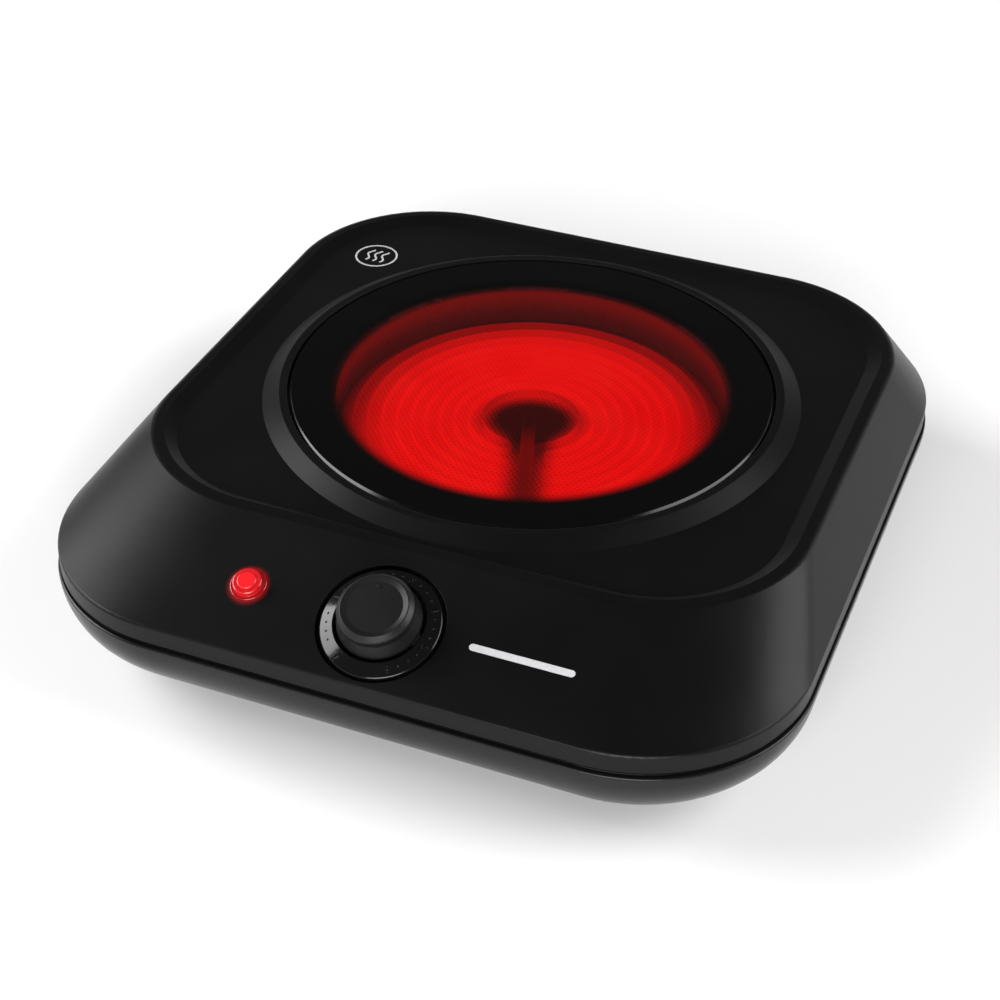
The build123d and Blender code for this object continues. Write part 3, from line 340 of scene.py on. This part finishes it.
def hot_ribbon():
    """Heating ribbon: bright red along the rings, cold where it runs out through the strip."""
    look = Look("hot_ribbon", Metallic=0.4, Roughness=0.6)
    scale = look.noise(1.2 * MM, 4.0)
    look.drive("Base Color", look.mix(scale, rgba((0.03, 0.018, 0.016)), rgba((0.06, 0.03, 0.025))))
    look.drive("Emission Color", heater_glow(look, 0.0))
    look.bump(scale, 0.02 * MM)
    look.shader.inputs["Emission Strength"].default_value = GLOW_STRENGTH * 1.06
    look.material.cycles.emission_sampling = "NONE"
    return look.material


def ceramic_glass():
    """Dark red-black glass-ceramic: see-through over the heater, with a fine knobbed underside, and made opaque black
    outside it as painted shade of the unlit space under the glass.
    """
    look = Look("hob_glass")
    radius, across, along = heater_polar(look, look.place)
    knobs = 0.0
    for direction, wave in dimple_waves(look):
        knobs = look.math("ADD", knobs, wave)
    net = look.remap(knobs, -1.5, 3.0, 1.03, 0.86)
    smoky = look.remap(look.noise(20 * MM, 3.0), 0.3, 0.7, 0.97, 1.0)
    clear = look.math("MULTIPLY", net, smoky)
    window = look.mix(clear, rgba((0, 0, 0)), rgba(GLASS_TINT))
    through = look.add("BsdfTransparent", window)
    # painted shade: the glass is made opaque near-black outside the heated circle, where the space under it is unlit
    black = look.add("BsdfDiffuse", rgba((0.0015, 0.0012, 0.0012)))
    painted_shade_outside = look.remap(radius, HEATED_RADIUS - 3.0 * MM, HEATED_RADIUS + 3.5 * MM, smooth=True)
    body = look.add("MixShader", painted_shade_outside, through, black)
    smear = look.noise(45 * MM, 4.0, 0.6)
    rough = look.remap(smear, 0.35, 0.75, 0.14, 0.22)
    fine = look.add("Bump", named={"Height": look.noise(9 * MM, 2.0), "Distance": 0.02 * MM})
    gloss = look.add("BsdfAnisotropic", rgba((1, 1, 1)), rough, named={"Normal": fine})
    facing = look.add("LayerWeight", 0.5, fine, output="Facing")
    mirror = look.remap(look.math("POWER", facing, 5.0), 0.0, 1.0, 0.028, 1.0)
    both = look.add("MixShader", mirror, body, gloss)
    look.join(both, look.output.inputs["Surface"])
    look.tree.nodes.remove(look.shader)
    return look.material


def clear_tube():
    """Fused quartz tube with a painted red glow inside the heated circle, as red as the heater floor under it."""
    look = Look("quartz", Roughness=0.5, Specular_IOR_Level=0.05)
    cloud = look.noise(4 * MM, 3.0)
    look.drive("Base Color", look.mix(cloud, rgba((0.03, 0.02, 0.02)), rgba((0.05, 0.03, 0.03))))
    radius = heater_polar(look, look.place)[0]
    # painted light: the tube glows red inside the heated circle, standing in for the heater's light through it
    inside = look.remap(radius, HEATED_RADIUS + 1 * MM, HEATED_RADIUS - 6 * MM)
    painted_red_glow = look.mix(look.remap(radius, 14 * MM, 34 * MM, smooth=True), rgba(DEEP_RED), rgba(STRIP_RED))
    look.drive("Emission Color", look.mix(inside, rgba((0, 0, 0)), painted_red_glow))
    look.shader.inputs["Emission Strength"].default_value = GLOW_STRENGTH
    look.material.cycles.emission_sampling = "NONE"
    look.bump(cloud, 0.01 * MM)
    return look.material


def fired_ceramic():
    """Cream steatite with a faint sandy skin and darker specks."""
    look = Look("steatite", IOR=1.55)
    sand = look.noise(0.4 * MM, 5.0)
    specks = look.remap(look.cells(2.6 * MM), 0.05, 0.09)
    cream = look.mix(look.noise(9 * MM), rgba((0.70, 0.66, 0.57)), rgba((0.80, 0.77, 0.69)))
    look.drive("Base Color", look.mix(specks, rgba((0.35, 0.30, 0.24)), cream))
    look.drive("Roughness", look.remap(sand, 0.3, 0.7, 0.5, 0.62))
    look.bump(sand, 0.02 * MM, 0.2 * MM)
    return look.material


def lit_lens():
    """Red lamp lens, lit from behind: bright button and head, and a dark red flange round them."""
    look = Look("lamp_red", Roughness=0.12, IOR=1.49, Coat_Weight=0.6, Coat_Roughness=0.05)
    from_centre = look.add("VectorMath", look.place, tuple(lamp_centre), operation="SUBTRACT")
    flat = look.add("VectorMath", from_centre, tuple(panel_normal), operation="CROSS_PRODUCT")
    radius = look.add("VectorMath", flat, operation="LENGTH", output="Value")
    button = look.remap(radius, 3.5 * MM, 2.7 * MM, 0.0, 0.45, smooth=True)
    head = look.remap(radius, 5.5 * MM, 4.6 * MM, 0.05, 0.55, smooth=True)
    step = look.math("MULTIPLY", look.remap(radius, 3.0 * MM, 3.4 * MM), look.remap(radius, 4.3 * MM, 3.7 * MM))
    light = look.math("SUBTRACT", look.math("ADD", head, button), look.math("MULTIPLY", step, 0.18))
    swirl = look.remap(look.noise(1.3 * MM, 3.0), 0.3, 0.7, 0.86, 1.08)
    light = look.math("MULTIPLY", light, swirl)
    look.drive("Base Color", look.mix(swirl, rgba((0.12, 0.002, 0.003)), rgba((0.20, 0.004, 0.005))))
    look.drive("Emission Color", look.mix(light, rgba((0.010, 0.0004, 0.0005)), rgba((0.95, 0.014, 0.020))))
    look.shader.inputs["Emission Strength"].default_value = 1.0
    look.material.cycles.emission_sampling = "NONE"
    look.bump(look.noise(0.8 * MM, 2.0), 0.01 * MM, 0.15 * MM)
    return look.material


def pale_print():
    """Light grey printing ink, a little uneven where it lies on the grained paint."""
    look = Look("pale_print", Roughness=0.55)
    speckle = look.noise(0.5 * MM, 4.0, 0.65)
    look.drive("Base Color", look.mix(look.remap(speckle, 0.35, 0.75), rgba((0.50, 0.50, 0.51)), rgba((0.36, 0.36, 0.37))))
    look.bump(speckle, 0.010 * MM)
    return look.material


def wire_sleeve(name, color):
    """Silicone-sleeved wire with a faint ribbed sheen."""
    look = Look(name, IOR=1.45, Sheen_Weight=0.1)
    ribs = look.noise(0.6 * MM, 3.0)
    look.varied(shade(color, 0.8), color, 5 * MM)
    look.drive("Roughness", look.remap(ribs, 0.3, 0.7, 0.42, 0.55))
    look.bump(ribs, 0.015 * MM)
    return look.material


finishes = {
    "cover_paint": painted_steel(),
    "base_plastic": moulded_plastic("base_plastic", (0.004, 0.004, 0.0043), 0.24, shine=0.25),
    "hob_glass": ceramic_glass(),
    "silicone": soft_rubber("silicone", (0.012, 0.012, 0.012)),
    "foot_rubber": soft_rubber("foot_rubber", (0.02, 0.02, 0.02)),
    "zinc_steel": brushed_metal("zinc_steel", (0.62, 0.63, 0.65), 0.34),
    "spring_steel": brushed_metal("spring_steel", (0.42, 0.42, 0.44), 0.26),
    "shield_sheet": brushed_metal("shield_sheet", (0.76, 0.76, 0.77), 0.30, (12.0, 1.0, 1.0), (0.55, 0.55, 0.55)),
    "insulation": pressed_fibre(),
    "hot_ribbon": hot_ribbon(),
    "quartz": clear_tube(),
    "steatite": fired_ceramic(),
    "brass_parts": brushed_metal("brass_parts", (0.72, 0.55, 0.26), 0.28, (1.0, 10.0, 1.0), (0.42, 0.28, 0.13)),
    "case_plastic": moulded_plastic("case_plastic", (0.03, 0.03, 0.03), 0.5),
    "block_plastic": moulded_plastic("block_plastic", (0.62, 0.61, 0.57), 0.45),
    "knob_plastic": moulded_plastic("knob_plastic", (0.005, 0.005, 0.0053), 0.38, 0.35 * MM, 0.010 * MM, 0.3 * MM, 0.25),
    "dial_plastic": moulded_plastic("dial_plastic", (0.003, 0.003, 0.0033), 0.14, 0.8 * MM, 0.002 * MM, 0.2 * MM, 0.3),
    "lamp_red": lit_lens(),
    "lead_brown": wire_sleeve("lead_brown", (0.20, 0.09, 0.04)),
    "lead_blue": wire_sleeve("lead_blue", (0.04, 0.10, 0.32)),
    "lead_green": wire_sleeve("lead_green", (0.16, 0.34, 0.06)),
    "lead_white": wire_sleeve("lead_white", (0.66, 0.66, 0.63)),
}

for part in record["subparts"]:
    for material_slot in nodes[part["node"]].material_slots:
        material_slot.material = finishes[part["material_slot"]]


# ---------------------------------------------------------------- marks on the dial, the panel and the deck
RING_INNER = 15.9 * MM
RING_OUTER = 21.1 * MM
RING_RISE = 2.2 * MM
RING_DROP = 0.1 * MM
MARK_RADIUS = 18.5 * MM
MARK_RISE = 0.30 * MM
DIGIT_HEIGHT = 2.7 * MM
DOT_RADIUS = 0.42 * MM
RING_TILT = math.atan2(RING_RISE + RING_DROP, RING_OUTER - RING_INNER)
PRINT_RISE = 0.05 * MM


def finish_piece(name, shape, material):
    """Turns a bmesh into an object of the scene that rides on the housing."""
    bmesh.ops.remove_doubles(shape, verts=shape.verts, dist=0.0005 * MM)
    bmesh.ops.recalc_face_normals(shape, faces=shape.faces)
    mesh = bpy.data.meshes.new(name)
    shape.to_mesh(mesh)
    shape.free()
    mesh.materials.append(material)
    piece = bpy.data.objects.new(name, mesh)
    bpy.context.scene.collection.objects.link(piece)
    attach(piece, "housing")
    return piece


def dial_place(turn, radius):
    """Place on the dial ring's cone, and its outward and sideways directions; turn is clockwise from the top."""
    outward = panel_right * math.sin(turn) + panel_up * math.cos(turn)
    height = RING_RISE - (radius - RING_INNER) * math.tan(RING_TILT)
    place = panel_origin + outward * radius + panel_normal * height
    down_slope = outward * math.cos(RING_TILT) - panel_normal * math.sin(RING_TILT)
    sideways = panel_right * math.cos(turn) - panel_up * math.sin(turn)
    return place, down_slope, sideways


def add_dot(shape, turn):
    """Low round stud on the dial ring."""
    place, down_slope, sideways = dial_place(turn, MARK_RADIUS)
    proud = sideways.cross(down_slope)
    rings, around = 4, 16
    layers = []
    for ring in range(rings + 1):
        lift = math.radians(90) * ring / rings
        radius, height = DOT_RADIUS * math.cos(lift), MARK_RISE * math.sin(lift)
        if ring == rings:
            layers.append([shape.verts.new(place + proud * MARK_RISE)])
            continue
        layers.append([shape.verts.new(place + proud * height + radius * (
            sideways * math.cos(2 * math.pi * step / around) + down_slope * math.sin(2 * math.pi * step / around)))
            for step in range(around)])
    for low, high in zip(layers, layers[1:]):
        for step in range(around):
            following = (step + 1) % around
            if len(high) == 1:
                shape.faces.new((low[step], low[following], high[0]))
            else:
                shape.faces.new((low[step], low[following], high[following], high[step]))
    shape.faces.new(layers[0])


def add_digit(shape, turn, digit):
    """Raised numeral on the dial ring, its head pointing outwards."""
    curve = bpy.data.curves.new("digit", "FONT")
    curve.body = digit
    curve.size = DIGIT_HEIGHT / 0.7
    curve.extrude = MARK_RISE
    curve.offset = 0.05 * MM
    curve.align_x, curve.align_y = "CENTER", "CENTER"
    curve.resolution_u = 6
    writer = bpy.data.objects.new("digit", curve)
    letter = bpy.data.meshes.new_from_object(writer)
    place, down_slope, sideways = dial_place(turn, MARK_RADIUS)
    proud = sideways.cross(down_slope)
    for vertex in letter.vertices:
        x, y, z = vertex.co
        vertex.co = place + sideways * x + down_slope * y + proud * (z - MARK_RISE * 0.2)
    shape.from_mesh(letter)
    bpy.data.meshes.remove(letter)
    bpy.data.objects.remove(writer)
    bpy.data.curves.remove(curve)


def make_dial_marks():
    """Numerals 0 to 6 round the dial with dots between them."""
    shape = bmesh.new()
    first, second, last = -150, -75, 150
    add_digit(shape, math.radians(first), "0")
    for dot in range(4):
        add_dot(shape, math.radians(-128 + dot * 32 / 3))
    steps = 5
    for step in range(steps + 1):
        turn = second + (last - second) * step / steps
        add_digit(shape, math.radians(turn), str(step + 1))
        if step < steps:
            for dot in (1, 2, 3):
                add_dot(shape, math.radians(turn + (last - second) / steps * dot / 4))
    finish_piece("dial_marks", shape, finishes["dial_plastic"])


def add_strip(shape, line, widths, normal, closed=False):
    """Thin flat strip along a line of points, with a width at each point."""
    count = len(line)
    rows = []
    for index, point in enumerate(line):
        before = line[index - 1] if index or closed else line[0]
        after = line[(index + 1) % count] if index + 1 < count or closed else line[-1]
        side = normal.cross((after - before).normalized()) * widths[index] / 2
        rows.append([shape.verts.new(point + side * across + normal * rise) for across, rise in (
            (1, -PRINT_RISE), (1, PRINT_RISE), (-1, PRINT_RISE), (-1, -PRINT_RISE))])
    for index in range(count if closed else count - 1):
        near, far = rows[index], rows[(index + 1) % count]
        for corner in range(4):
            following = (corner + 1) % 4
            shape.faces.new((near[corner], near[following], far[following], far[corner]))
    if not closed:
        shape.faces.new(rows[0])
        shape.faces.new(list(reversed(rows[-1])))


def round_ended(lengths, width):
    """Widths of a strip whose ends are half circles, at distances along it."""
    radius = width / 2
    widths = []
    for length in lengths:
        inset = max(radius - length, radius - (lengths[-1] - length), 0.0)
        widths.append(2 * math.sqrt(max(radius ** 2 - inset ** 2, (0.02 * MM) ** 2)))
    return widths


def make_panel_bar():
    """Plain rounded bar printed to the right of the dial."""
    shape = bmesh.new()
    start, end, up, width = 32.0 * MM, 69.3 * MM, 0.2 * MM, 2.6 * MM
    cap = [width / 2 * (1 - math.cos(math.radians(15 * step))) for step in range(7)]
    lengths = cap + [end - start - length for length in reversed(cap)]
    origin = panel_origin + panel_right * start + panel_up * up
    line = [origin + panel_right * length for length in lengths]
    add_strip(shape, line, round_ended(lengths, width), panel_normal)
    finish_piece("panel_bar", shape, finishes_print)


def make_heat_mark():
    """Plain ring with three wavy lines, printed on the deck's rear left corner."""
    shape = bmesh.new()
    centre = Vector((-97.5 * MM, 88 * MM, deck_z))
    radius, line_width = 8.6 * MM, 0.8 * MM
    around = 72
    ring = [centre + Vector((math.cos(2 * math.pi * step / around), math.sin(2 * math.pi * step / around), 0)) * radius
            for step in range(around)]
    up = Vector((0, 0, 1))
    add_strip(shape, ring, [line_width] * around, up, closed=True)
    height, swing, samples = 9.0 * MM, 0.9 * MM, 30
    for x in (-3.2 * MM, 0.0, 3.2 * MM):
        lengths = [height * step / samples for step in range(samples + 1)]
        wave = [centre + Vector((x + swing * math.sin(2 * math.pi * length / height * 1.25), length - height / 2, 0))
                for length in lengths]
        add_strip(shape, wave, round_ended(lengths, line_width), up)
    finish_piece("heat_mark", shape, finishes_print)


finishes_print = pale_print()
make_dial_marks()
make_panel_bar()
make_heat_mark()


# ---------------------------------------------------------------- floor, light and camera
def make_floor():
    """Wide pale floor with a faint unevenness."""
    mesh = bpy.data.meshes.new("floor")
    shape = bmesh.new()
    bmesh.ops.create_circle(shape, cap_ends=True, radius=40.0, segments=64)
    shape.to_mesh(mesh)
    shape.free()
    floor = bpy.data.objects.new("floor", mesh)
    bpy.context.scene.collection.objects.link(floor)
    look = Look("floor", Roughness=0.65)
    look.varied((0.86, 0.86, 0.86), (0.90, 0.90, 0.895), 0.6)
    look.bump(look.noise(4 * MM, 2.0), 0.01 * MM)
    mesh.materials.append(look.material)


def softbox(name, place, target, size, power):
    """Large rectangular light aimed at a point."""
    lamp = bpy.data.lights.new(name, "AREA")
    lamp.shape = "RECTANGLE"
    lamp.size, lamp.size_y = size
    lamp.energy = power
    light = bpy.data.objects.new(name, lamp)
    light.location = place
    light.rotation_mode = "QUATERNION"
    light.rotation_quaternion = (Vector(target) - Vector(place)).to_track_quat("-Z", "Y")
    bpy.context.scene.collection.objects.link(light)


def make_world():
    """Pale near the horizon and dark overhead, like a lit room round a product table."""
    world = bpy.data.worlds.new("studio")
    bpy.context.scene.world = world
    world.use_nodes = True
    tree = world.node_tree
    place = tree.nodes.new("ShaderNodeTexCoord")
    parts = tree.nodes.new("ShaderNodeSeparateXYZ")
    ramp = tree.nodes.new("ShaderNodeValToRGB")
    tree.links.new(place.outputs["Generated"], parts.inputs[0])
    tree.links.new(parts.outputs["Z"], ramp.inputs[0])
    tree.links.new(ramp.outputs["Color"], tree.nodes["Background"].inputs["Color"])
    stops = ramp.color_ramp.elements
    stops[0].position, stops[0].color = 0.0, rgba((0.95, 0.95, 0.95))
    stops[1].position, stops[1].color = 1.0, rgba((0.05, 0.05, 0.05))
    for height, level in ((0.08, 0.80), (0.24, 0.16), (0.50, 0.07)):
        stops.new(height).color = rgba((level,) * 3)


CAMERA_PLACE = Vector((0.2277, -0.5905, 0.4892))
CAMERA_AZIMUTH = math.radians(21.55)
CAMERA_ELEVATION = math.radians(36.57)
CAMERA_ROLL = math.radians(0.5)
CAMERA_LENS = 72.9


def make_camera():
    """Camera at the viewing angle of the product picture."""
    data = bpy.data.cameras.new("camera")
    data.lens = CAMERA_LENS
    data.sensor_width = 36.0
    data.clip_start, data.clip_end = 0.01, 200.0
    camera = bpy.data.objects.new("camera", data)
    bpy.context.scene.collection.objects.link(camera)
    level = math.cos(CAMERA_ELEVATION)
    back = Vector((math.sin(CAMERA_AZIMUTH) * level, -math.cos(CAMERA_AZIMUTH) * level, math.sin(CAMERA_ELEVATION)))
    camera.location = CAMERA_PLACE
    camera.rotation_mode = "QUATERNION"
    camera.rotation_quaternion = (-back).to_track_quat("-Z", "Y") @ Quaternion((0, 0, 1), CAMERA_ROLL)
    bpy.context.scene.camera = camera


make_floor()
make_world()
softbox("left_box", (-1.9, -0.25, 1.1), (0, 0, 0), (1.6, 1.2), 58)
softbox("right_box", (1.9, 0.7, 1.25), (0, 0, 0), (1.8, 1.6), 52)
softbox("front_box", (0.5, -2.3, 0.9), (0, -0.2, 0), (1.8, 0.9), 70)
make_camera()
bpy.context.scene.view_settings.view_transform = "Standard"
